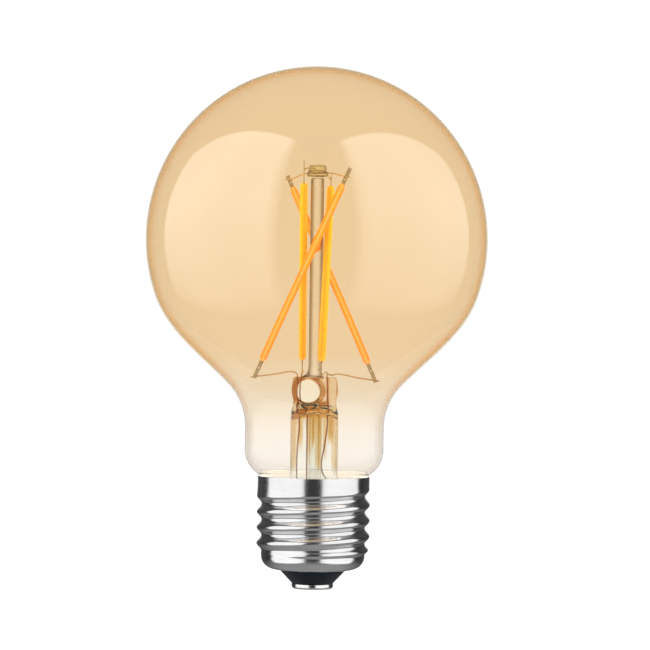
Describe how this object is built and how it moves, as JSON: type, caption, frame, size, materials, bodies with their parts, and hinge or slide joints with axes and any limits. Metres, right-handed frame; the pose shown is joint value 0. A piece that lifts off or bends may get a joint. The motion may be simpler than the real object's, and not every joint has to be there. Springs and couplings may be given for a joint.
{
  "type": "smart light bulb",
  "caption": "Tunable-white filament lamp: an amber glass globe on a 27 mm screw cap, with crossed LED filaments round a glass post and a radio driver inside the cap.",
  "frame": {"origin": "middle of the centre contact's underside, the lowest point of the lamp", "axes": "+Z along the lamp's axis, from the cap to the crown of the globe; the front, where a warm filament crosses the post, faces -Y"},
  "size_m": [0.0792, 0.0792, 0.1207],
  "materials": {
    "amber_glass": "blown glass with a thin amber coat that clears towards the neck",
    "clear_glass": "clear lead-free glass, fire-polished",
    "nickel": "bright nickel plate",
    "black_glass": "black glass, slightly satin",
    "lead_wire": "copper-clad wire, dull",
    "support_wire": "drawn wire, satin",
    "strip_steel": "stamped and plated steel strip",
    "warm_phosphor": "silicone filled with warm phosphor, soft gloss",
    "cool_phosphor": "silicone filled with cool phosphor, soft gloss",
    "cement": "basing cement, matt",
    "circuit_board": "glass-epoxy board with solder mask",
    "tinned_can": "tinned steel, satin",
    "black_sleeve": "shrink sleeve",
    "ferrite": "pressed ferrite, matt",
    "copper": "enamelled and tinned copper",
    "black_epoxy": "moulded epoxy",
    "resistor_coat": "cement coat, matt"
  },
  "bodies": {
    "root": {"globe_envelope": "amber_glass", "stem_tube": "clear_glass", "exhaust_tube": "clear_glass", "centre_post": "clear_glass", "post_button": "clear_glass", "screw_shell": "nickel", "centre_contact": "nickel", "cap_insulator": "black_glass", "basing_cement": "cement", "warm_bridge_wire": "support_wire", "cool_bridge_wire": "support_wire", "cool_return_wire": "support_wire", "lead_wire_warm": "lead_wire", "lead_wire_cool": "lead_wire", "lead_wire_common": "lead_wire", "driver_board": "circuit_board", "radio_board": "circuit_board", "radio_shield": "tinned_can", "smoothing_capacitor": "black_sleeve", "choke_core": "ferrite", "choke_winding": "copper", "bridge_rectifier": "black_epoxy", "driver_chip": "black_epoxy", "warm_switch": "black_epoxy", "cool_switch": "black_epoxy", "fuse_resistor": "resistor_coat", "live_lead": "copper", "fuse_lead": "copper", "neutral_lead": "copper", "warm_front_filament_strip": "strip_steel", "warm_front_filament_outer_coat": "warm_phosphor", "warm_front_filament_inner_coat": "warm_phosphor", "cool_left_filament_strip": "strip_steel", "cool_left_filament_outer_coat": "cool_phosphor", "cool_left_filament_inner_coat": "cool_phosphor", "warm_rear_filament_strip": "strip_steel", "warm_rear_filament_outer_coat": "warm_phosphor", "warm_rear_filament_inner_coat": "warm_phosphor", "cool_right_filament_strip": "strip_steel", "cool_right_filament_outer_coat": "cool_phosphor", "cool_right_filament_inner_coat": "cool_phosphor"}
  },
  "joints": []
}
